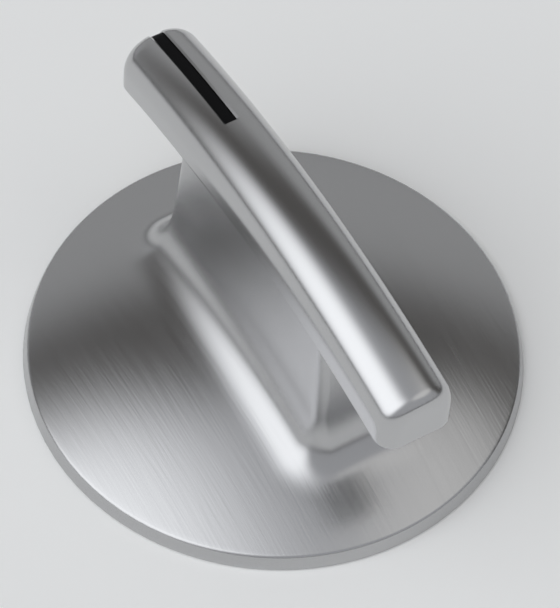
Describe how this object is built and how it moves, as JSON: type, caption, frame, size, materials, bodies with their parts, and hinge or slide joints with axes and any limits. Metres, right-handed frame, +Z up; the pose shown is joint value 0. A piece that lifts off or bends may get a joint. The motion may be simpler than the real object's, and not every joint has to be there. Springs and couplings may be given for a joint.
{
  "type": "appliance control knob",
  "caption": "Satin metal appliance control knob: a low round skirt, an upright pedestal and an arched finger bar with a black indicator strip, on a push-on D-shaft socket.",
  "frame": {"origin": "on the shaft axis, in the plane of the rim's foot", "axes": "+Z up the shaft axis towards the finger bar, +Y along the bar towards its indicator end, +X to the right of the indicator"},
  "size_m": [0.058, 0.0586, 0.0319],
  "materials": {
    "satin_skirt": "fine straight brushing, satin nickel-chrome tone",
    "satin_bar": "bead-smooth satin, soft blurred reflections",
    "indicator_black": "satin black inlay",
    "screw_steel": "bright zinc",
    "washer_steel": "plain spring steel",
    "black_nylon": "fine moulded grain",
    "cast_hub": "as cast, turned bore",
    "spring_steel": "blued strip",
    "silicone": "matte"
  },
  "bodies": {
    "knob": {"skirt_shell": "satin_skirt", "handle_bar": "satin_bar", "indicator_strip": "indicator_black", "handle_screws": "screw_steel", "lock_washers": "washer_steel", "dowel_pins": "screw_steel", "carrier": "black_nylon", "carrier_screws": "screw_steel", "stem_hub": "cast_hub", "spring_pin": "screw_steel", "stem_seal": "silicone"},
    "spring_leaf": {"stem_spring": "spring_steel"}
  },
  "joints": [
    {"name": "spring_flex", "type": "hinge", "parent": "knob", "child": "spring_leaf", "pos_m": [0, 0.0033, 0.0064], "axis": [-1, 0, 0], "range_deg": [0, 6], "stiffness_Nm_per_rad": 0.3}
  ]
}
